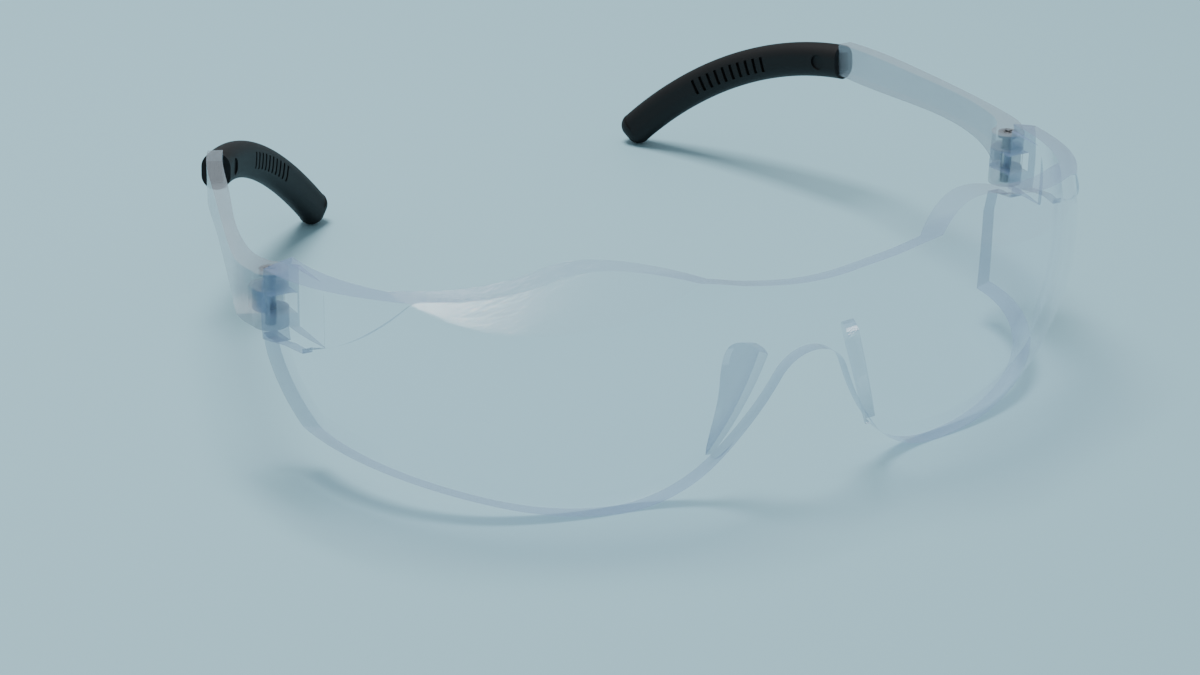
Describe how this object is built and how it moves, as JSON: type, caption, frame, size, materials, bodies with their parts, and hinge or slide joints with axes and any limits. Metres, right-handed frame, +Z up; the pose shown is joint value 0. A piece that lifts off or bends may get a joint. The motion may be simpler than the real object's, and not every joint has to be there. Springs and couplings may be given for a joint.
{
  "type": "safety glasses",
  "caption": "Clear one-piece wrap lens with moulded nose pads and two folding clear temples that end in black soft sleeves.",
  "frame": {"origin": "middle of the plan outline in the stored pose, on the floor the glasses stand on", "axes": "-Y is the way the wearer looks, +Y runs back along the temples, +Z is up, +X is to the right for someone who faces the lens from the front; both hinge axes are parallel to Z"},
  "size_m": [0.1523, 0.1573, 0.0409],
  "materials": {
    "lens": "clear polished polycarbonate with bluish edges",
    "temple": "clear, slightly milky polycarbonate",
    "sleeve": "matte black soft rubber",
    "screw": "bright small screw"
  },
  "bodies": {
    "front": {"lens": "lens"},
    "left_arm": {"left_temple": "temple", "left_sleeve": "sleeve", "left_hinge_screw": "screw"},
    "right_arm": {"right_temple": "temple", "right_sleeve": "sleeve", "right_hinge_screw": "screw"}
  },
  "joints": [
    {"name": "right_hinge", "type": "hinge", "parent": "front", "child": "right_arm", "pos_m": [0.0678, -0.02904, 0.029], "axis": [0, 0, 1], "range_deg": [0, 78]},
    {"name": "left_hinge", "type": "hinge", "parent": "front", "child": "left_arm", "pos_m": [-0.0728, -0.02904, 0.029], "axis": [0, 0, -1], "range_deg": [-20.56, 69.44]}
  ]
}
